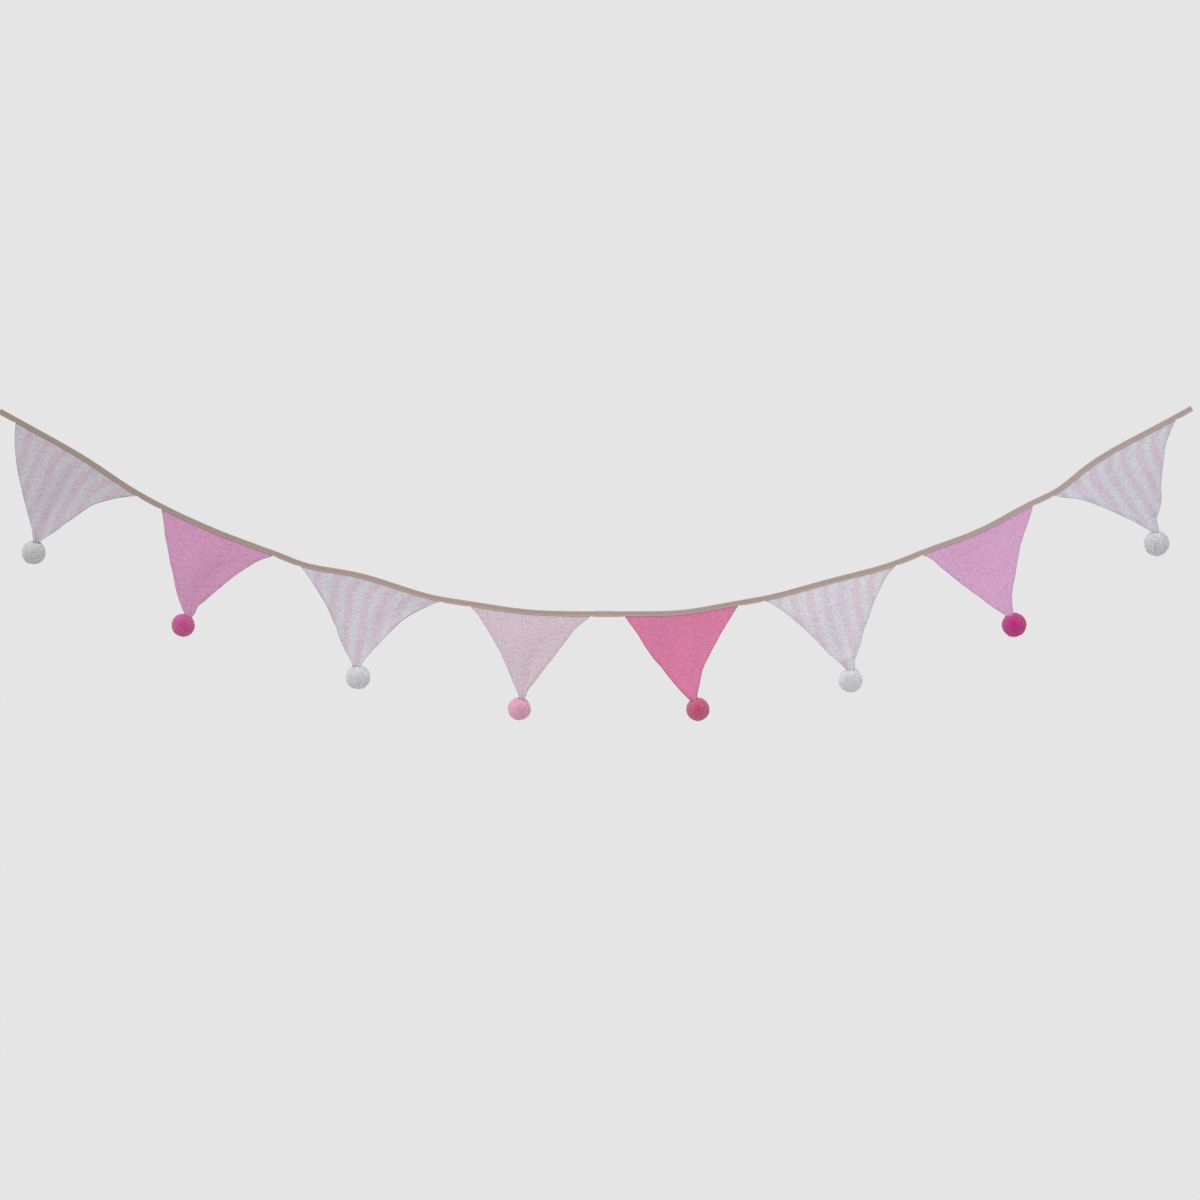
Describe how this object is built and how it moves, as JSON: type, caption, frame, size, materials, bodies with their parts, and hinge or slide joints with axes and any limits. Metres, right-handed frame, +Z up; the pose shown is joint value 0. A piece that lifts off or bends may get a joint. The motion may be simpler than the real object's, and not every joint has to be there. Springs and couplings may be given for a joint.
{
  "type": "fabric bunting",
  "caption": "Swag of crinkled cotton pennants held in one folded tape, with a yarn pompom on the tip of each; it hangs by the tape's ends.",
  "frame": {"origin": "on the tape's top edge, in the middle of the swag", "axes": "+X along the bunting, to the right as its front is seen; +Z up; -Y out of its front"},
  "size_m": [1.6729, 0.0392, 0.4407],
  "materials": {
    "tape": "matte woven cotton binding tape",
    "cloth_striped": "matte crinkled cotton, pale stripes",
    "cloth_orchid": "matte crinkled cotton",
    "cloth_pale_pink": "matte crinkled cotton",
    "cloth_rose": "matte crinkled cotton",
    "yarn_white": "cut yarn pile",
    "yarn_magenta": "cut yarn pile",
    "yarn_pink": "cut yarn pile",
    "yarn_rose": "cut yarn pile"
  },
  "bodies": {
    "root": {"header_tape": "tape", "flag_1": "cloth_striped", "flag_2": "cloth_orchid", "flag_3": "cloth_striped", "flag_4": "cloth_pale_pink", "flag_5": "cloth_rose", "flag_6": "cloth_striped", "flag_7": "cloth_orchid", "flag_8": "cloth_striped", "pompom_1": "yarn_white", "pompom_2": "yarn_magenta", "pompom_3": "yarn_white", "pompom_4": "yarn_pink", "pompom_5": "yarn_rose", "pompom_6": "yarn_white", "pompom_7": "yarn_magenta", "pompom_8": "yarn_white"}
  },
  "joints": []
}
